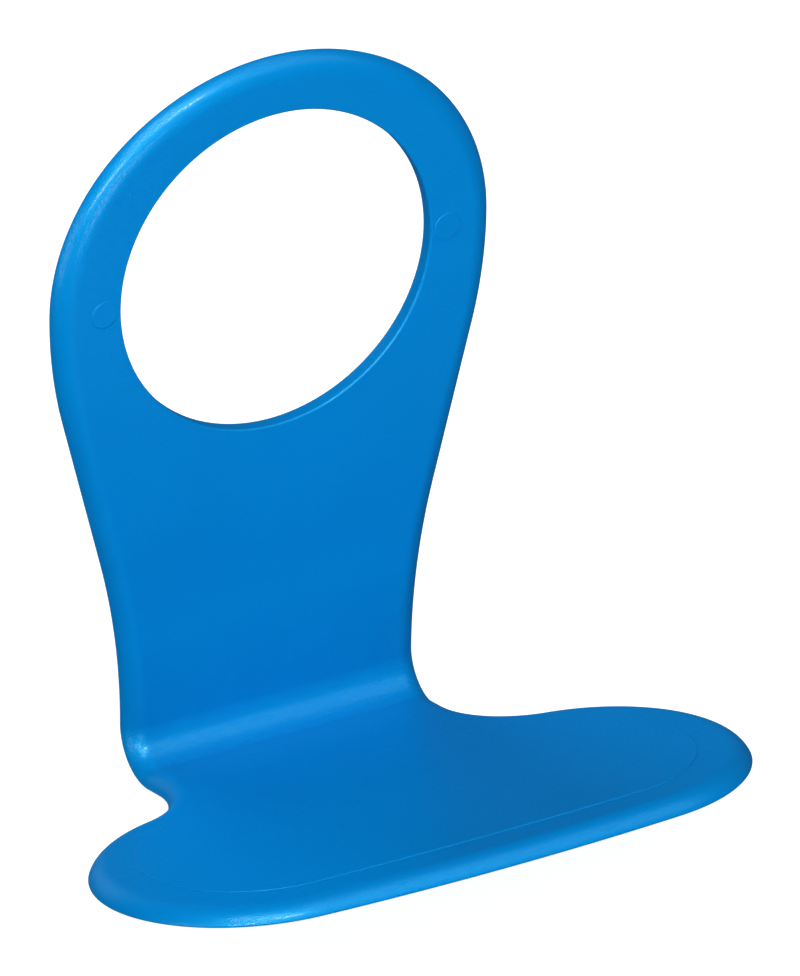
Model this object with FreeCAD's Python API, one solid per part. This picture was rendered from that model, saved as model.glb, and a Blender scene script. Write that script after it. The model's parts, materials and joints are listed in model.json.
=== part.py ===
"""Charging phone holder: one rigid plastic moulding, bent into an L.

A back plate hangs on a wall charger by a large round hole.  Below the hole the plate narrows
to a neck, bends forward and opens into an oval shelf on which a phone stands.

Frame: millimetres, +Z up, +Y towards the wall, +X to the right.  The origin is the centre of
the plug hole on the plate's wall side, so the plate fills Y from -wall to 0.

Widths and reaches are those of the outline in which the border's full quarter round would end.
The wall is thinner than that rounding is deep, so the rear face cuts it a little inside them.
"""
import FreeCAD, Part
import math
import os

V = FreeCAD.Vector

# ---- wall and edges ---------------------------------------------------------------------
wall = 2.5                   # thickness of the moulding, the same all over
border_radius = 3.4          # soft rounding all round the front, cut off by the rear face
rear_edge_radius = 0.25      # rear edge broken where the two halves of the mould meet

# ---- back plate -------------------------------------------------------------------------
hole_diameter = 50.0         # passes over a wall charger or plug
hole_front_radius = 0.4      # edge of the hole on the front
ring_band = 10.6             # width of the ring beside the hole, where it is widest
crown_band = 8.6             # width of the ring above the hole
shoulder_offset = 3.1        # of the shoulder arcs' centres, either side of the middle line
side_radius = 72.0           # from the widest point down to the straight flank
flank_length = 25.0          # straight part of the side between its two arcs
neck_width = 48.2            # narrowest, where the bend starts
bend_below_hole = 68.75      # start of the bend below the hole's centre

# ---- bend -------------------------------------------------------------------------------
bend_radius = 4.5            # inside radius
bend_angle = 101.5           # degrees turned: over 90, so the shelf rises towards the front

# ---- shelf, distances measured along it from the end of the bend ---------------------------
shelf_width = 101.7
shelf_reach = 63.4           # to the middle of the front edge
front_bow = 1.15             # how far the front edge bows out beyond the two round ends
neck_straight = 3.4          # straight sides before the neck flares out
flare_radius = 12.0          # inside corner between the neck and each end

# ---- raised pad on the shelf ---------------------------------------------------------------
pad_inset = 7.6              # inside the shelf's ends and front edge
pad_back_distance = 15.0     # from the end of the bend to the middle of the pad's rear edge
pad_front_bow = 0.55         # how far its front edge bows out beyond its round ends
pad_back_bow = 4.25          # the same at its rear edge
pad_height = 0.12

# ---- ejector pin marks beside the hole -------------------------------------------------------
mark_diameter = 4.2
mark_height = 0.1
mark_gap = 0.65              # between the hole and a mark

FRONT = V(0, -1, 0)          # the way the front face looks
TOUCH = 1e-6                 # mm, two places nearer than this are the same place
hole_radius = hole_diameter / 2
ring_half = hole_radius + ring_band
crown_height = hole_radius + crown_band
shoulder_radius = ring_half - shoulder_offset
neck_half = neck_width / 2
shelf_half = shelf_width / 2


def blend_radius(tip_x, tip_radius, rise):
    """Radius of the arc, centred on the middle line, that passes `rise` beyond the centres of
    the two end arcs and touches both of them from outside."""
    return (tip_x ** 2 + rise ** 2 - tip_radius ** 2) / (2 * (rise - tip_radius))


def on_circle(centre, radius, angle):
    """Point of a circle in the (across, along) plane; the angle is in radians."""
    return (centre[0] + radius * math.cos(angle), centre[1] + radius * math.sin(angle))


def arc(centre, radius, start, end):
    """Arc edge in the XZ plane from angle to angle, passing half way between them."""
    points = [on_circle(centre, radius, a) for a in (start, (start + end) / 2, end)]
    return Part.Arc(*[V(x, 0, z) for x, z in points]).toShape()


def line(a, b):
    """Straight edge in the XZ plane."""
    return Part.LineSegment(V(a[0], 0, a[1]), V(b[0], 0, b[1])).toShape()


def both_sides(half, bottom):
    """Face from the right half of an outline, its mirror image and a closing edge."""
    mirrored = [edge.mirror(V(0, 0, 0), V(1, 0, 0)) for edge in half]
    edges = Part.sortEdges(half + mirrored + bottom)[0]
    return Part.Face(Part.Wire(edges))


def plate_outline():
    """Back plate, with the hole's centre at the origin and the bend's start as its foot."""
    shoulder = (shoulder_offset, 0.0)
    crown_radius = blend_radius(shoulder[0], shoulder_radius, crown_height)
    crown = (0.0, crown_height - crown_radius)
    meet = math.atan2(shoulder[1] - crown[1], shoulder[0] - crown[0])
    # the side arc and the neck arc are joined by a straight flank that touches both
    step = ring_half - neck_half
    radii = (step ** 2 + bend_below_hole ** 2 - flank_length ** 2) / (2 * step)
    neck_radius = radii - side_radius
    lean = math.atan2(bend_below_hole, radii - step) - math.atan2(flank_length, radii)
    side = (ring_half - side_radius, 0.0)
    neck = (neck_half + neck_radius, -bend_below_hole)
    edges = [
        arc(crown, crown_radius, math.pi / 2, meet),
        arc(shoulder, shoulder_radius, meet, 0),
        arc(side, side_radius, 0, -lean),
        line(on_circle(side, side_radius, -lean), on_circle(neck, neck_radius, math.pi - lean)),
        arc(neck, neck_radius, math.pi - lean, math.pi),
    ]
    foot = [line((-neck_half, -bend_below_hole), (neck_half, -bend_below_hole))]
    return both_sides(edges, foot)


def direction(centre, point):
    """Angle of the line from a centre to a point."""
    return math.atan2(point[1] - centre[1], point[0] - centre[0])


def shelf_tip():
    """Centre and radius of the shelf's round right end: it touches the flare, which leaves the
    neck's straight side, it reaches the full width, and the front edge bows out beyond it."""
    depth = shelf_reach - front_bow - neck_straight
    offset = neck_half + flare_radius - shelf_half
    half_sum = depth + flare_radius - offset
    product = depth ** 2 + offset ** 2 - flare_radius ** 2
    radius = half_sum - math.sqrt(half_sum ** 2 - product)
    return (shelf_half - radius, radius + front_bow - shelf_reach), radius


def shelf_outline():
    """Shelf drawn flat below the end of the bend, which is at the origin."""
    tip, tip_radius = shelf_tip()
    front_radius = blend_radius(tip[0], tip_radius, tip_radius + front_bow)
    front = (0.0, front_radius - shelf_reach)
    flare = (neck_half + flare_radius, -neck_straight)
    leave = direction(tip, flare)
    front_start = direction(front, tip)
    edges = [
        line((neck_half, 0), (neck_half, -neck_straight)),
        arc(flare, flare_radius, math.pi, math.pi + leave),
        arc(tip, tip_radius, leave, front_start),
        arc(front, front_radius, front_start, -math.pi / 2),
    ]
    return both_sides(edges, [line((-neck_half, 0), (neck_half, 0))])


def pad_outline():
    """Closed oval of the raised pad, in the same flat drawing as the shelf."""
    front_at = shelf_reach - pad_inset
    tip_radius = (front_at - pad_back_distance - pad_front_bow - pad_back_bow) / 2
    tip = (shelf_half - pad_inset - tip_radius, tip_radius + pad_front_bow - front_at)
    back_radius = blend_radius(tip[0], tip_radius, tip_radius + pad_back_bow)
    front_radius = blend_radius(tip[0], tip_radius, tip_radius + pad_front_bow)
    back = (0.0, -pad_back_distance - back_radius)
    front = (0.0, front_radius - front_at)
    back_end = direction(back, tip)
    front_start = direction(front, tip)
    edges = [
        arc(back, back_radius, math.pi / 2, back_end),
        arc(tip, tip_radius, back_end, front_start),
        arc(front, front_radius, front_start, -math.pi / 2),
    ]
    return both_sides(edges, [])


def soft_slab(face, foot_level):
    """Slab behind the XZ plane whose edges are rounded everywhere except at its foot.

    It is made deeper than the border's rounding, then cut off at the wall's thickness."""
    deep = border_radius + wall
    slab = face.extrude(V(0, deep, 0))
    slab = slab.makeFillet(border_radius, rim(slab, 0, foot_level))
    size = 2 * (face.BoundBox.DiagonalLength + deep)
    slab = slab.cut(Part.makeBox(size, size, size, V(-size / 2, wall, foot_level - size / 2)))
    return slab.makeFillet(rear_edge_radius, rim(slab, wall, foot_level))


def rim(slab, depth, foot_level):
    """Edges all round a slab at one depth, without the one along its foot."""
    def wanted(edge):
        first, last = edge.ParameterRange
        points = [edge.valueAt(p) for p in (first, (first + last) / 2, last)]
        at_depth = all(abs(p.y - depth) < TOUCH for p in points)
        on_foot = all(abs(p.z - foot_level) < TOUCH for p in points)
        return at_depth and not on_foot

    return [edge for edge in slab.Edges if wanted(edge)]


def bend_section():
    """Cross-section of the neck in the XY plane, with the same rounded sides as the slabs."""
    flat_half = neck_half - border_radius
    rear_level = wall - rear_edge_radius
    inner = border_radius - rear_edge_radius
    sweep = math.acos(max(border_radius - rear_level, 0) / inner)
    rear_half = flat_half + inner * math.sin(sweep)

    def rounding(x, level, radius, angles):
        return [V(x + radius * math.sin(a), level - radius * math.cos(a), 0) for a in angles]

    front = rounding(flat_half, border_radius, border_radius, (0, sweep / 2, sweep))
    rear = rounding(rear_half, rear_level, rear_edge_radius,
                    (sweep, (sweep + math.pi) / 2, math.pi))
    side = [Part.Arc(*front).toShape(), Part.Arc(*rear).toShape()]
    if rear_level > border_radius:
        side.append(Part.LineSegment(front[-1], rear[0]).toShape())
    mirrored = [edge.mirror(V(0, 0, 0), V(1, 0, 0)) for edge in side]
    across = [Part.LineSegment(V(-p.x, p.y, 0), p).toShape() for p in (front[0], rear[-1])]
    return Part.Face(Part.Wire(Part.sortEdges(side + mirrored + across)[0]))


def holder_body():
    """The whole moulding, first with its front face in the XZ plane."""
    axis_point = V(0, -bend_radius, -bend_below_hole)
    axis = V(1, 0, 0)
    plate = soft_slab(plate_outline(), -bend_below_hole)

    section = bend_section()
    section.translate(V(0, 0, -bend_below_hole))
    bend = section.revolve(axis_point, axis, -bend_angle)

    shelf = soft_slab(shelf_outline(), 0)
    pad = pad_outline()
    pad.translate(V(0, wall / 2, 0))
    pad = pad.extrude(V(0, -wall / 2 - pad_height, 0))
    for piece in (shelf, pad):
        piece.translate(V(0, 0, -bend_below_hole))
        piece.rotate(axis_point, axis, -bend_angle)

    body = plate.fuse([bend, shelf]).removeSplitter()
    body = body.cut(Part.makeCylinder(hole_radius, 3 * wall, V(0, -wall, 0), V(0, 1, 0)))
    body = body.makeFillet(hole_front_radius, [hole_edge(body)])

    mark_x = hole_radius + mark_gap + mark_diameter / 2
    marks = [Part.makeCylinder(mark_diameter / 2, wall / 2 + mark_height,
                               V(side * mark_x, wall / 2, 0), FRONT) for side in (-1, 1)]
    # the pad and the marks start half way through the wall and stand out from its front
    body = body.fuse([pad] + marks)
    body.translate(V(0, -wall, 0))
    return body.Solids[0]


def hole_edge(body):
    """The hole's round edge on the front face."""
    def wanted(edge):
        curve = edge.Curve
        return (isinstance(curve, Part.Circle) and abs(curve.Radius - hole_radius) < TOUCH
                and abs(curve.Center.y) < TOUCH)

    return next(edge for edge in body.Edges if wanted(edge))


body = holder_body()
box = body.optimalBoundingBox(False, False)
print("valid", body.isValid(), "solids", len(body.Solids), "faces", len(body.Faces))
print("size %.2f x %.2f x %.2f mm" % (box.XLength, box.YLength, box.ZLength))
print("X %.2f..%.2f  Y %.2f..%.2f  Z %.2f..%.2f" % (
    box.XMin, box.XMax, box.YMin, box.YMax, box.ZMin, box.ZMax))
print("volume %.1f mm3" % body.Volume)
os.makedirs("parts", exist_ok=True)
body.exportStep("parts/holder_body.step")
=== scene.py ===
# %% [markdown]
# # A charging phone holder, modelled and finished in Blender
#
# The real object is one injection moulding in satin blue plastic. A flat back plate hangs on a
# wall charger by its big round hole, narrows to a neck, bends forward and opens into a wide oval
# shelf for the phone. Its engineering model is loaded first and stays fixed: it says how large
# everything is. The lesson then builds the visible moulding over it, with the soft border, the
# thin raised pad and the ejector pin marks, gives it its plastic, and lights it like a small
# studio product.

# %% Load the engineering model
import json
import math
import bmesh
import bpy
from mathutils import Matrix, Vector


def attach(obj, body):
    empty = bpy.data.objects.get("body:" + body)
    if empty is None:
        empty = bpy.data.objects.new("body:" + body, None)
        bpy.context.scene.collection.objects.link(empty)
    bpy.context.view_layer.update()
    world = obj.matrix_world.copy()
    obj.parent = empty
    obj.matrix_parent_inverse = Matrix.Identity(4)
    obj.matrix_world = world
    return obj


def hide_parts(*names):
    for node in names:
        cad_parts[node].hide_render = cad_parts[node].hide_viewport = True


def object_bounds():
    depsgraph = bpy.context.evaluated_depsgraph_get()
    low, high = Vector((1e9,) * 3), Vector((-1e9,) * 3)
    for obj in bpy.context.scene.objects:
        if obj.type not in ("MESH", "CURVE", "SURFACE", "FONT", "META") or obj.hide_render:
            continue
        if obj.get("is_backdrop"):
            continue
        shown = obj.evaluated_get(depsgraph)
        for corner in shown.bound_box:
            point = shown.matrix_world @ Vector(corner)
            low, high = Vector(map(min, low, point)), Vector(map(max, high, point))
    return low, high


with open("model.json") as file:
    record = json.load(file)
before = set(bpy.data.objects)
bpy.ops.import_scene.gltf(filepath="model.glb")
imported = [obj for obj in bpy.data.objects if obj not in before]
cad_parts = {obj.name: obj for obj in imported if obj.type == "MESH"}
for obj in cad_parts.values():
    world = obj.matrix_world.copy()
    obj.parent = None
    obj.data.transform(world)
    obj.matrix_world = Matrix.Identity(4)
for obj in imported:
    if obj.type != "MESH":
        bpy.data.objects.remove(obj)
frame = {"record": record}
cad_low, cad_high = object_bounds()
MM = 0.001
print("engineering model:", [round(side / MM, 2) for side in cad_high - cad_low], "mm")

# %% [markdown]
# ## The sizes
#
# A moulding like this has few sizes of its own, and most follow from the frame. The hole's radius
# and the shelf's slope are read from the record's mounts. The height of the crown, the width of
# the shelf and the level of the bend come from the model's box. The rest are the designer's
# choices: radii, the border's rounding and the steps of a tenth of a millimetre.
#
# The border is a 3.4 mm round on a wall of 2.5 mm. The rear face cuts the round before it stands
# square, and a quarter millimetre of rounding breaks that rear edge, so the finished edge lies a
# little inside the outline that is drawn.

# %% Read and name the sizes
mounts = {mount["name"]: mount for mount in frame["record"]["mounts"]}
hole_radius = mounts["plug_hole"]["dims"]["r_mm"] * MM
shelf_up = Vector(mounts["shelf_top"]["axis"])
bend_angle = math.atan2(shelf_up.z, -shelf_up.y)

wall = 2.5 * MM
border_radius = 3.4 * MM
rear_radius = 0.25 * MM
hole_front_radius = 0.4 * MM
hole_rear_radius = 0.6 * MM
bend_radius = 4.5 * MM

front_y = cad_high.y - wall
rear_centre = wall - rear_radius                     # depth of the rear rounding's centre
border_turn = math.acos((border_radius - rear_centre) / (border_radius - rear_radius))
rear_inset = border_radius - (border_radius - rear_radius) * math.sin(border_turn)
edge_inset = rear_inset - rear_radius                # from the drawn outline to the real edge

crown_height = cad_high.z + edge_inset
shelf_half = cad_high.x + edge_inset
bend_level = cad_low.z + bend_radius + wall
print("bend starts", round(bend_level / MM, 2), "mm above the hole's centre and turns",
      round(math.degrees(bend_angle), 1), "degrees; edge inset", round(edge_inset / MM, 3), "mm")

# %% [markdown]
# ## Drawing an outline as a draughtsman does
#
# The outline is a chain of arcs that touch each other, with two short straight lines. It could be
# a Bezier curve, but then the radii would only be eyeballed. A single point swept round each
# arc's centre by the Spin operator gives true arcs, and the spun point stays selected, so the next
# arc carries on from it. Half of the outline is drawn, from the middle of the top clockwise, and
# a Mirror modifier makes the other half. The finished loop is filled with one face.
#
# Everything is drawn flat, in the plane of the plate, with the shelf hanging straight below the
# neck. It is bent at the end, when the flat sheet has all its details.

# %% Helpers that draw outlines
SEGMENT = 0.9 * MM           # longest straight piece in an arc
POINT = 0.001 * MM           # two points nearer than this are one


def start_outline(name, x, y, z):
    """A new mesh with one point, in edit mode, ready to be swept."""
    bpy.ops.object.select_all(action="DESELECT")
    bpy.ops.mesh.primitive_plane_add(size=MM, location=(0, 0, 0))
    outline = bpy.context.object
    outline.name = outline.data.name = name
    bpy.ops.object.mode_set(mode="EDIT")
    bpy.ops.mesh.select_mode(type="VERT")
    bpy.ops.mesh.select_all(action="SELECT")
    bpy.ops.mesh.merge(type="CENTER")
    bpy.ops.transform.translate(value=(x, y, z))
    return outline


def arc_to(centre, radius, turn):
    """Sweep the end point round a centre (x, z); a positive turn is clockwise from the front."""
    steps = max(3, math.ceil(abs(turn) * radius / SEGMENT))
    bpy.ops.mesh.spin(steps=steps, angle=turn, center=(centre[0], front_y, centre[1]),
                      axis=(0, -1, 0))


def line_by(x, z):
    """Extrude the end point along a straight line."""
    bpy.ops.mesh.extrude_vertices_move(TRANSFORM_OT_translate={"value": (x, 0, z)})


def close_outline(outline):
    """Mirror the half outline, join it at the middle and fill it with one face, front outwards."""
    bpy.ops.object.mode_set(mode="OBJECT")
    mirror = outline.modifiers.new("other half", "MIRROR")
    mirror.merge_threshold = 10 * POINT
    bpy.ops.object.modifier_apply(modifier=mirror.name)
    bpy.ops.object.mode_set(mode="EDIT")
    bpy.ops.mesh.select_all(action="SELECT")
    bpy.ops.mesh.remove_doubles(threshold=POINT)
    bpy.ops.mesh.edge_face_add()
    sheet = bmesh.from_edit_mesh(outline.data)
    sheet.faces.ensure_lookup_table()
    sheet.normal_update()
    if sheet.faces[0].normal.y > 0:
        bpy.ops.mesh.flip_normals()
    print(outline.name, "outline of", len(sheet.verts), "points")


def blend_radius(tip_x, tip_radius, rise):
    """Radius of an arc centred on the middle line that rises past the end arcs' centres."""
    return (tip_x ** 2 + rise ** 2 - tip_radius ** 2) / (2 * (rise - tip_radius))


def bearing(centre, point):
    """Angle of the line from a centre to a point, counted from the horizontal."""
    return math.atan2(point[1] - centre[1], point[0] - centre[0])


# %% [markdown]
# ## The outline of the moulding
#
# From the top: a flat crown arc, a shoulder arc that reaches the widest point level with the
# hole, a side arc, a straight flank, and a hollow arc that brings the side down to the neck. Below
# the bend come a short straight, the inside corner, the round end of the shelf, and the long
# front edge with its slight bow. Only the radii and a few lengths are chosen; the centres follow
# from the rule that each arc touches the next.

# %% Draw the moulding's outline
ring_band = 10.6 * MM        # from the hole to the outline, level with the hole
ring_half = hole_radius + ring_band
shoulder_offset = 3.1 * MM
side_radius = 72.0 * MM
flank_length = 25.0 * MM
neck_half = 24.1 * MM
neck_straight = 3.4 * MM
flare_radius = 12.0 * MM
shelf_reach = 63.4 * MM      # from the end of the bend to the middle of the front edge
front_bow = 1.15 * MM


def draw_plate():
    """Crown, shoulder, side, flank and hollow, down to the neck."""
    shoulder_radius = ring_half - shoulder_offset
    crown_radius = blend_radius(shoulder_offset, shoulder_radius, crown_height)
    crown = (0.0, crown_height - crown_radius)
    meet = bearing(crown, (shoulder_offset, 0.0))
    arc_to(crown, crown_radius, math.pi / 2 - meet)
    arc_to((shoulder_offset, 0.0), shoulder_radius, meet)
    step = ring_half - neck_half
    radii = (step ** 2 + bend_level ** 2 - flank_length ** 2) / (2 * step)
    hollow_radius = radii - side_radius
    lean = math.atan2(-bend_level, radii - step) - math.atan2(flank_length, radii)
    arc_to((ring_half - side_radius, 0.0), side_radius, lean)
    line_by(-flank_length * math.sin(lean), -flank_length * math.cos(lean))
    arc_to((neck_half + hollow_radius, bend_level), hollow_radius, -lean)
    print("crown", round(crown_radius / MM, 1), "mm, hollow", round(hollow_radius / MM, 1), "mm")


def draw_shelf():
    """Short straight, inside corner, round end and front edge, to the middle of the front."""
    depth = shelf_reach - front_bow - neck_straight
    offset = neck_half + flare_radius - shelf_half
    half_sum = depth + flare_radius - offset
    tip_radius = half_sum - math.sqrt(half_sum ** 2 - depth ** 2 - offset ** 2 + flare_radius ** 2)
    tip = (shelf_half - tip_radius, bend_level + tip_radius + front_bow - shelf_reach)
    front_radius = blend_radius(tip[0], tip_radius, tip_radius + front_bow)
    front = (0.0, bend_level + front_radius - shelf_reach)
    flare = (neck_half + flare_radius, bend_level - neck_straight)
    leave = bearing(tip, flare)
    front_start = bearing(front, tip)
    line_by(0, -neck_straight)
    arc_to(flare, flare_radius, -leave)
    arc_to(tip, tip_radius, leave - front_start)
    arc_to(front, front_radius, math.pi / 2 + front_start)
    print("shelf's round end", round(tip_radius / MM, 2), "mm")


holder = start_outline("phone_holder", 0, front_y, crown_height)
draw_plate()
draw_shelf()
close_outline(holder)

# %% [markdown]
# ## Thickness and the soft border
#
# The border is a rolled edge: from the flat front it falls away in an arc until the rear cuts it.
# A bevel modifier could round a block's edge, but not past its own thickness. Insetting the flat
# face again and again, each time a little further in and a little further forward, follows
# the arc exactly, and the same trick rounds the small rear edge from the other side. One more
# inset in the flat keeps the smooth shading of the round away from the big flat face.

# %% Give the sheet its thickness and its border
ROUND_STEPS = 14             # insets that make the border's arc
REAR_STEPS = 3               # insets that make the rear edge's arc
FLAT_RIM = 0.6 * MM          # ring of flat beside each rounding


def select(part, wanted):
    """Select the vertices, edges or faces of the mesh in edit mode that are wanted; count them."""
    bpy.ops.mesh.select_mode(type={"verts": "VERT", "edges": "EDGE", "faces": "FACE"}[part])
    bpy.ops.mesh.select_all(action="DESELECT")
    mesh = bmesh.from_edit_mesh(bpy.context.object.data)
    found = [item for item in getattr(mesh, part) if wanted(item)]
    for item in found:
        item.select_set(True)
    mesh.select_flush_mode()
    bmesh.update_edit_mesh(bpy.context.object.data)
    return len(found)


def step_in(stations):
    """Inset the selected face through (inset, height) stations, each counted from the outline."""
    for (inset, height), (next_inset, next_height) in zip(stations, stations[1:]):
        bpy.ops.mesh.inset(thickness=next_inset - inset, depth=next_height - height,
                           use_even_offset=True)


def arc_stations(radius, inset, height, start, end, steps):
    """Stations on an arc about (inset, height); the angle is counted from straight forward."""
    angles = [start + (end - start) * i / steps for i in range(steps + 1)]
    return [(inset - radius * math.sin(a), height + radius * math.cos(a)) for a in angles]


def middle(face):
    return face.calc_center_median()


# the flat sheet becomes two faces back to back, at the level where the edge stands out most
bpy.ops.transform.translate(value=(0, rear_centre, 0))
bpy.ops.mesh.inset(thickness=edge_inset, depth=0)
select("faces", lambda face: len(face.verts) == 4)
bpy.ops.mesh.delete(type="FACE")
select("faces", lambda face: True)
bpy.ops.mesh.duplicate()
bpy.ops.mesh.flip_normals()
step_in(arc_stations(rear_radius, rear_inset, 0, math.pi / 2, 0, REAR_STEPS))
bpy.ops.mesh.inset(thickness=FLAT_RIM, depth=0)

select("faces", lambda face: face.normal.y < 0)
step_in(arc_stations(rear_radius, rear_inset, -rear_centre, math.pi / 2, border_turn, 1))
step_in(arc_stations(border_radius, border_radius, -border_radius, border_turn, 0, ROUND_STEPS))
bpy.ops.mesh.inset(thickness=FLAT_RIM, depth=0)

bpy.ops.mesh.select_all(action="SELECT")
bpy.ops.mesh.remove_doubles(threshold=POINT)
bpy.ops.object.mode_set(mode="OBJECT")
print("sheet with its border:", len(holder.data.polygons), "faces,",
      round(holder.dimensions.y / MM, 3), "mm thick")

# %% [markdown]
# ## The plug hole
#
# The hole is round and goes straight through. It could be a ring of faces bridged between two
# loops, but here it cuts through one flat face on each side, and a cylinder and a Boolean
# modifier do that in one step, as a core pin does in the mould. Its front edge is only just
# broken, so that the charger slides in, and a Bevel on the edge loop gives that.

# %% Cut the hole and break its edges
def rod(name, radius, centre, back, front, points):
    """A cylinder along Y, between two levels, at (x, z)."""
    bpy.ops.object.select_all(action="DESELECT")
    bpy.ops.mesh.primitive_cylinder_add(
        vertices=points, radius=radius, depth=back - front,
        location=(centre[0], (back + front) / 2, centre[1]), rotation=(math.pi / 2, 0, 0))
    made = bpy.context.object
    made.name = made.data.name = name
    bpy.ops.object.transform_apply(location=True, rotation=True, scale=True)
    return made


def combine(body, tool, operation):
    """Cut a tool out of the body, or melt it into the body, and remove the tool."""
    step = body.modifiers.new(operation.lower(), "BOOLEAN")
    step.operation, step.object, step.solver = operation, tool, "EXACT"
    bpy.context.view_layer.objects.active = body
    bpy.ops.object.modifier_apply(modifier=step.name)
    bpy.ops.object.select_all(action="DESELECT")
    tool.select_set(True)
    bpy.ops.object.delete()
    bpy.context.view_layer.objects.active = body


def edge_on_hole(edge, level):
    """True for an edge of the hole's circle at one level."""
    on_circle = all(abs(math.hypot(v.co.x, v.co.z) - hole_radius) < 10 * POINT for v in edge.verts)
    return on_circle and all(abs(v.co.y - level) < POINT for v in edge.verts)


HOLE_POINTS = 200
combine(holder, rod("hole cutter", hole_radius, (0, 0), wall, -2 * wall, HOLE_POINTS), "DIFFERENCE")
bpy.ops.object.mode_set(mode="EDIT")
for level, radius, rings in ((front_y, hole_front_radius, 5), (cad_high.y, hole_rear_radius, 3)):
    count = select("edges", lambda edge: edge_on_hole(edge, level))
    bpy.ops.mesh.bevel(offset=radius, segments=rings, affect="EDGES")
    print("hole edge of", count, "edges rounded to", round(radius / MM, 2), "mm")
bpy.ops.object.mode_set(mode="OBJECT")

# %% [markdown]
# ## The raised pad and the ejector pin marks
#
# The mould leaves three faint steps. An oval insert stands a tenth of a millimetre lower in the
# mould, so the shelf has a raised oval pad with a thin bright line round it. Two ejector pins
# beside the hole leave round marks that stand a little proud. A bump texture could fake them,
# but a step catches light on one side and shadow on the other, and real geometry does
# that from every side. Each is made as a thin plug with a rounded top edge, and joined on.

# %% Add the pad and the marks
pad_inset = 7.6 * MM
pad_back = 15.0 * MM
pad_back_bow = 4.25 * MM
pad_front_bow = 0.55 * MM
pad_height = 0.12 * MM
mark_radius = 2.1 * MM
mark_height = 0.1 * MM
mark_gap = 0.65 * MM
STEP_WIDTH = 0.24 * MM       # the rounding of each step is wider than it is high
STEP_ROUND = 0.09 * MM
STEP_RINGS = 5               # insets that make the rounding
MARK_POINTS = 64


def raise_plug(plug, height):
    """Turn the plug's front face into a step of that height with a rounded edge."""
    select("faces", lambda face: len(face.verts) > 4 and face.normal.y < -0.5)
    plug_front = middle(next(face for face in bmesh.from_edit_mesh(plug.data).faces if face.select))
    rise = front_y - height + STEP_ROUND - plug_front.y
    bpy.ops.mesh.extrude_region_move(TRANSFORM_OT_translate={"value": (0, rise, 0)})
    quarter = arc_stations(1, 1, 0, math.pi / 2, 0, STEP_RINGS)
    step_in([(STEP_WIDTH * inset, STEP_ROUND * height) for inset, height in quarter])
    bpy.ops.object.mode_set(mode="OBJECT")


def draw_pad():
    """Half of the pad's oval: hollow back, round end, nearly straight front."""
    front_at = shelf_reach - pad_inset
    tip_radius = (front_at - pad_back - pad_front_bow - pad_back_bow) / 2
    tip = (shelf_half - pad_inset - tip_radius, bend_level + tip_radius + pad_front_bow - front_at)
    back_radius = blend_radius(tip[0], tip_radius, tip_radius + pad_back_bow)
    front_radius = blend_radius(tip[0], tip_radius, tip_radius + pad_front_bow)
    back = (0.0, bend_level - pad_back - back_radius)
    front = (0.0, bend_level + front_radius - front_at)
    back_end = bearing(back, tip)
    front_start = bearing(front, tip)
    arc_to(back, back_radius, math.pi / 2 - back_end)
    arc_to(tip, tip_radius, back_end - front_start)
    arc_to(front, front_radius, front_start + math.pi / 2)
    print("pad's round end", round(tip_radius / MM, 2), "mm")


pad = start_outline("shelf pad", 0, front_y + wall / 2, bend_level - pad_back)
draw_pad()
close_outline(pad)
raise_plug(pad, pad_height)
combine(holder, pad, "UNION")

mark_x = hole_radius + mark_gap + mark_radius
for side in (-1, 1):
    mark = rod("ejector mark", mark_radius, (side * mark_x, 0), front_y + wall / 2,
               front_y + wall / 4, MARK_POINTS)
    bpy.ops.object.mode_set(mode="EDIT")
    raise_plug(mark, mark_height)
    combine(holder, mark, "UNION")
print("flat moulding:", len(holder.data.polygons), "faces")

# %% [markdown]
# ## The bend
#
# The real holder comes out of the mould already bent. In Blender the flat sheet is cut across the
# neck, the shelf is split off and turned about the bend's axis, and the cut edge of the plate is
# swept round the same axis by Spin until it meets the shelf. A deform modifier would stretch
# the wall at the outside of the bend; the spin keeps its thickness exact.

# %% Turn the shelf and sweep the bend
BEND_STEPS = 26
bend_axis = (0, front_y - bend_radius, bend_level)


def on_cut(edge):
    """True for the plate's open edges along the cut."""
    at_level = all(abs(v.co.z - bend_level) < 10 * POINT for v in edge.verts)
    return edge.is_boundary and at_level and all(v.co.y > front_y - POINT for v in edge.verts)


bpy.ops.object.mode_set(mode="EDIT")
bpy.ops.mesh.select_all(action="SELECT")
bpy.ops.mesh.bisect(plane_co=(0, 0, bend_level), plane_no=(0, 0, 1), threshold=POINT)
select("faces", lambda face: middle(face).z < bend_level)
bpy.ops.mesh.split()
bpy.ops.transform.rotate(value=bend_angle, orient_axis="X", center_override=bend_axis)
count = select("edges", on_cut)
bpy.ops.mesh.spin(steps=BEND_STEPS, angle=bend_angle, center=bend_axis, axis=(1, 0, 0))
bpy.ops.mesh.select_all(action="SELECT")
bpy.ops.mesh.remove_doubles(threshold=2 * POINT)
bpy.ops.mesh.normals_make_consistent(inside=False)
bpy.ops.object.mode_set(mode="OBJECT")
print("bend swept from", count, "edges")

# %% [markdown]
# ## Smooth shading
#
# Smooth shading blends the normals of neighbouring faces, and would bleed the round border into the
# flat front. Edges sharper than a third of a right angle stay sharp, and the Weighted Normal
# modifier lets each point take the direction of its largest face, so that the flats stay flat.

# %% Shade and check the mesh
SHARP = math.radians(32)
bpy.ops.object.select_all(action="DESELECT")
holder.select_set(True)
bpy.context.view_layer.objects.active = holder
bpy.ops.object.shade_smooth_by_angle(angle=SHARP)
weighted = holder.modifiers.new("flats stay flat", "WEIGHTED_NORMAL")
weighted.keep_sharp = True
bpy.ops.object.modifier_apply(modifier=weighted.name)


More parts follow.
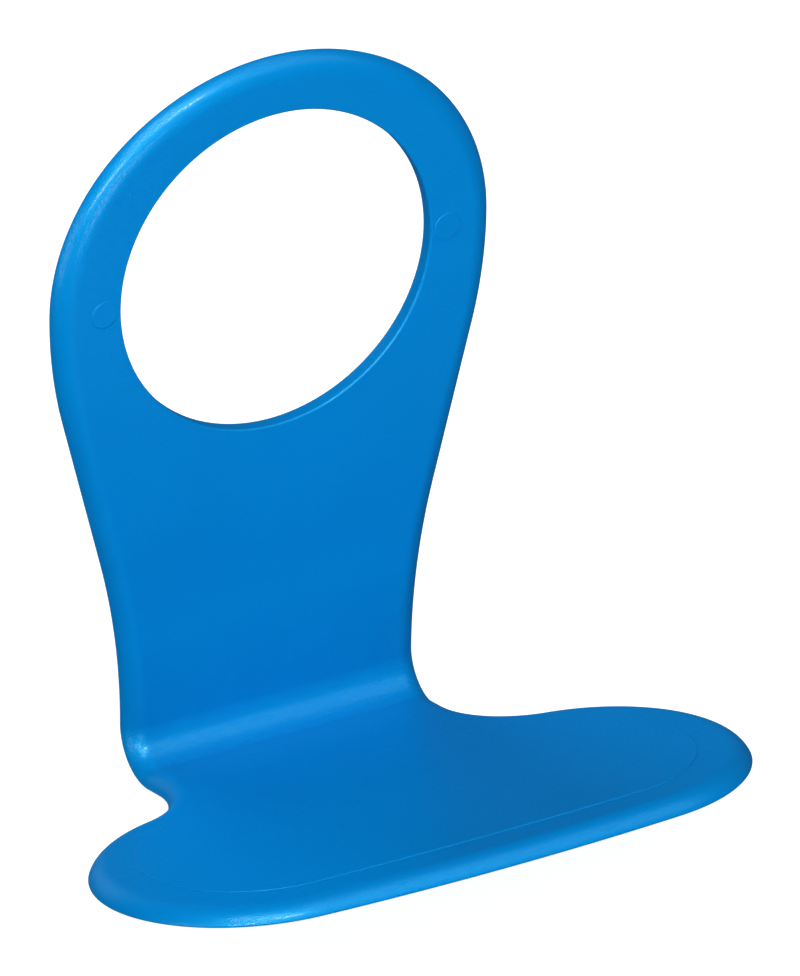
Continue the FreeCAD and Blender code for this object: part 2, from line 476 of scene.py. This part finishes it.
def inspect(piece):
    """Print open edges, volume, triangles and box of a piece."""
    mesh = bmesh.new()
    mesh.from_mesh(piece.data)
    open_edges = sum(not edge.is_manifold for edge in mesh.edges)
    triangles = sum(len(face.verts) - 2 for face in mesh.faces)
    low = Vector([min(v.co[i] for v in mesh.verts) for i in range(3)])
    high = Vector([max(v.co[i] for v in mesh.verts) for i in range(3)])
    print(piece.name, "open edges", open_edges, "| volume", round(mesh.calc_volume() / MM ** 3),
          "mm3 | triangles", triangles)
    print("  low", [round(c / MM, 3) for c in low], "high", [round(c / MM, 3) for c in high])
    mesh.free()


inspect(holder)
print("  model", [round(c / MM, 3) for c in cad_low], [round(c / MM, 3) for c in cad_high])

# %% [markdown]
# ## Writing a material as expressions
#
# A shader is a small program, and wires drawn one by one hide what it says. One class wraps a
# node's output, and its operators add the Math nodes, so a pattern reads like arithmetic.
# A second class holds the material's node tree, and makes any node from its type, its settings
# and the values of its sockets.

# %% Helpers for materials
class Value:
    """A number that changes over the surface, with the arithmetic that the finish uses."""

    def __init__(self, finish, socket):
        self.finish = finish
        self.socket = socket

    def math(self, operation, *others):
        node = self.finish.node("ShaderNodeMath", {"operation": operation},
                                dict(enumerate((self, *others))))
        return Value(self.finish, node.outputs[0])

    def __add__(self, other):
        return self.math("ADD", other)

    def __sub__(self, other):
        return self.math("SUBTRACT", other)

    def __rsub__(self, other):
        return self.math("MULTIPLY", -1).math("ADD", other)

    def __mul__(self, other):
        return self.math("MULTIPLY", other)

    def ramp(self, low, high):
        """0 below low, 1 above high, and smooth between them."""
        node = self.finish.node("ShaderNodeMapRange", {"interpolation_type": "SMOOTHSTEP"},
                                {"Value": self, "From Min": low, "From Max": high})
        return Value(self.finish, node.outputs["Result"])

    __radd__ = __add__
    __rmul__ = __mul__


class Finish:
    """A material and its node tree."""

    def __init__(self, name):
        self.material = bpy.data.materials.new(name)
        self.material.use_nodes = True
        self.tree = self.material.node_tree
        self.shader = self.tree.nodes["Principled BSDF"]
        self.place = self.node("ShaderNodeTexCoord").outputs["Object"]

    def feed(self, socket, value):
        """Link a value to a socket, or set it there when it is a constant."""
        source = value.socket if isinstance(value, Value) else value
        if isinstance(source, bpy.types.NodeSocket):
            self.tree.links.new(source, socket)
        else:
            socket.default_value = source

    def node(self, kind, settings=None, inputs=None):
        """A node of that type: settings first, then a value or a link for each named input."""
        made = self.tree.nodes.new(kind)
        for name, value in (settings or {}).items():
            setattr(made, name, value)
        for name, value in (inputs or {}).items():
            self.feed(made.inputs[name], value)
        return made

    def noise(self, size, detail=2.0, stretch=(1, 1, 1)):
        """Noise from 0 to 1, whose spots are about `size` metres across."""
        scaled = self.node("ShaderNodeVectorMath", {"operation": "MULTIPLY"},
                           {0: self.place, 1: [part / size for part in stretch]})
        made = self.node("ShaderNodeTexNoise", None,
                         {"Vector": scaled.outputs[0], "Scale": 1.0, "Detail": detail})
        return Value(self, made.outputs["Fac"])

    def mix(self, amount, first, second):
        """Colour between two colours."""
        made = self.node("ShaderNodeMix", {"data_type": "RGBA"},
                         {"Factor": amount, 6: first, 7: second})
        return made.outputs[2]

    def bump(self, height, distance):
        """Surface normal of a height in the range 0 to 1 that stands for `distance` metres."""
        made = self.node("ShaderNodeBump", None, {"Height": height, "Distance": distance})
        return made.outputs["Normal"]

    def set(self, **inputs):
        """Feed the main shader; underscores stand for the spaces in its socket names."""
        for name, value in inputs.items():
            self.feed(self.shader.inputs[name.replace("_", " ")], value)


# %% [markdown]
# ## The plastic
#
# The moulding is a strong cyan-leaning blue, coloured right through, with a satin surface: the
# mould was blasted, so the skin is a field of fine pits about a fifth of a millimetre apart.
# A single roughness would only blur every highlight. Two layers do it here. The plastic itself
# is fairly rough, and its sheen is tinted blue, so the broad glow along the border keeps its
# colour. Over it lies a thin, sharper and colourless skin, which is there only on the high spots
# of the grain, so a small lamp draws a narrow white streak that sparkles. A fine noise also
# drives the bump, a second one varies the roughness, and a slow one shifts the colour by a
# shade, as pigment does along the flow of the melt.
#
# Wear on such a part is slight: hairline rubs from chargers and phones, which show as thin
# streaks of smoother skin.

# %% Make the blue satin plastic
BLUE = (0.0, 0.212, 0.575, 1)
BLUE_DEEP = (0.0, 0.203, 0.555, 1)
SHEEN_BLUE = (0.03, 0.7, 1.0, 1)
FLOW_SIZE = 30 * MM          # patches of slightly deeper colour
GRAIN_SIZE = 0.22 * MM       # pits of the blasted mould
PIT_SIZE = 0.6 * MM          # the few larger pits
RUB_SIZE = 4 * MM
RUB_STRETCH = (0.25, 1, 6)   # long across the piece, thin up and down
PIT_DEPTH = 0.05 * MM


def satin_plastic():
    finish = Finish("blue satin plastic")
    flow = finish.noise(FLOW_SIZE, 3)
    grain = finish.noise(GRAIN_SIZE, 2)
    pits = finish.noise(PIT_SIZE, 2)
    rubs = finish.noise(RUB_SIZE, 3, stretch=RUB_STRETCH).ramp(0.62, 0.72)
    roughness = 0.34 + 0.06 * grain + 0.04 * pits - 0.04 * rubs
    skin = 0.32 * grain.ramp(0.42, 0.58)
    finish.set(
        Base_Color=finish.mix(flow.ramp(0.3, 0.7), BLUE, BLUE_DEEP),
        Roughness=roughness,
        Normal=finish.bump(grain + 0.5 * pits, PIT_DEPTH),
        Specular_IOR_Level=0.7,
        Specular_Tint=SHEEN_BLUE,
        Coat_Weight=skin,
        Coat_Roughness=0.2,
    )
    return finish.material


holder.data.materials.clear()
holder.data.materials.append(satin_plastic())
for polygon in holder.data.polygons:
    polygon.material_index = 0
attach(holder, "root")
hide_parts("holder_body")
print("material:", holder.data.materials[0].name)

# %% [markdown]
# ## The floor
#
# A product this small is usually shown on white. The floor is a plain pale sheet, lit a little
# from within like a light table, so it stays white with hardly a shadow. A real white sheet would
# shine into the plastic and wash out its blue, so this one is kept out of its reflections. The
# object sees a dim bluish room instead, which draws the thin dark line along its edges.

# %% Floor
FLOOR_SIZE = 60              # metres
GREY = (0.4, 0.4, 0.4, 1)
WHITE = (1, 1, 1, 1)
FLOOR_GLOW = 0.95
centre = (cad_low + cad_high) / 2
bpy.ops.object.select_all(action="DESELECT")
bpy.ops.mesh.primitive_plane_add(size=FLOOR_SIZE, location=(centre.x, centre.y, cad_low.z))
floor = bpy.context.object
floor.name = "floor"
paper = Finish("pale lit sheet")
paper.set(Base_Color=GREY, Roughness=0.9, Specular_IOR_Level=0.0,
          Emission_Color=WHITE, Emission_Strength=FLOOR_GLOW)
floor.data.materials.append(paper.material)
floor.visible_diffuse = floor.visible_glossy = floor.visible_shadow = False
floor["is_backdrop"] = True
print("floor at", round(cad_low.z / MM, 2), "mm")

# %% [markdown]
# ## The lights
#
# A small satin product shows its light as much as its shape. Broad soft boxes high on both sides
# and low in front give the flats their even blue, and a wide one high on the right lays the glow
# along the bend. A low one stands for the light that a pale table throws back up: it fills
# without shining, and so does the one behind, for the back of the plate. Two narrow boxes near
# the camera do the opposite. They only shine, and draw the thin streaks on the border. Keeping
# fill and highlights apart lets each be set by itself.

# %% Lights
def direction(azimuth, elevation):
    """Unit vector towards a light or camera, by its bearing round the object, in degrees."""
    a, e = math.radians(azimuth), math.radians(elevation)
    return Vector((math.sin(a) * math.cos(e), -math.cos(a) * math.cos(e), math.sin(e)))


def soft_box(name, azimuth, elevation, size, power, fill=True, shine=True, roll=0):
    """A soft box one metre away that looks at the object: a fill light, a highlight or both."""
    towards = direction(azimuth, elevation)
    bpy.ops.object.light_add(type="AREA", location=centre + towards)
    light = bpy.context.object
    light.name = name
    light.data.shape = "RECTANGLE"
    light.data.size, light.data.size_y = size
    light.data.energy = power
    light.visible_diffuse, light.visible_glossy = fill, shine
    facing = towards.to_track_quat("Z", "Y").to_matrix() @ Matrix.Rotation(math.radians(roll), 3, "Z")
    light.rotation_euler = facing.to_euler()


BROAD = (0.5, 0.5)           # sides of a soft box, in metres
WIDE = (0.9, 0.9)
STRIP = (0.4, 0.07)
SMALL = (0.22, 0.10)
soft_box("high left", -41, 55, BROAD, 6.6)
soft_box("low left", -75, 5, BROAD, 2.8)
soft_box("high right", 43, 56, WIDE, 3.6)
soft_box("low front", -14, 5, BROAD, 3.6)
soft_box("table glow", 13, -30, BROAD, 2.2, shine=False)
soft_box("strip by the camera", -43, 27, STRIP, 5.5, fill=False, roll=40)
soft_box("small box by the camera", -10, 50, SMALL, 5.0, fill=False)
soft_box("rear", 185, 5, BROAD, 7.0, shine=False)

ROOM_BLUE = (0.3, 0.6, 1, 1)
ROOM_LIGHT = 0.1
world = bpy.data.worlds.new("dim room")
world.use_nodes = True
room = world.node_tree.nodes["Background"]
room.inputs["Color"].default_value = ROOM_BLUE
room.inputs["Strength"].default_value = ROOM_LIGHT
bpy.context.scene.world = world
bpy.context.scene.view_settings.view_transform = "Standard"

# %% [markdown]
# ## The camera
#
# The camera stands left of the middle and a little above, so that the hole, the bend and the
# whole shelf show. A long lens from far away keeps the outline nearly free of perspective.
# It could be turned by hand until the view looks right, but its bearing says more, so its three
# directions are worked out from that, and they are the columns of its rotation matrix. The aim
# is counted from the front of the neck, at the level of the bend.

# %% Camera
view_azimuth, view_elevation, view_roll = -29.70, 29.44, 0.677      # degrees
view_distance = 2441.4 * MM
LENS = 627.0                 # millimetres
AIM_RIGHT = 18.15 * MM       # from the neck's front to the middle of the view
AIM_UP = 29.06 * MM
CLIP = 20                    # metres
back = direction(view_azimuth, view_elevation)
level = Vector((math.cos(math.radians(view_azimuth)), math.sin(math.radians(view_azimuth)), 0))
rise = back.cross(level)
roll = math.radians(view_roll)
right = math.cos(roll) * level + math.sin(roll) * rise
up = math.cos(roll) * rise - math.sin(roll) * level
neck_front = Vector((0, front_y, bend_level))
aim = neck_front + AIM_RIGHT * right + AIM_UP * up
bpy.ops.object.camera_add(location=aim + back * view_distance)
camera = bpy.context.object
camera.data.lens = LENS
camera.data.clip_end = CLIP
camera.rotation_euler = Matrix((right, up, back)).transposed().to_euler()
bpy.context.scene.camera = camera
print("camera", round(view_distance, 3), "m from its aim")

# %% Measure the bounds of the finished scene
size_low, size_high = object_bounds()
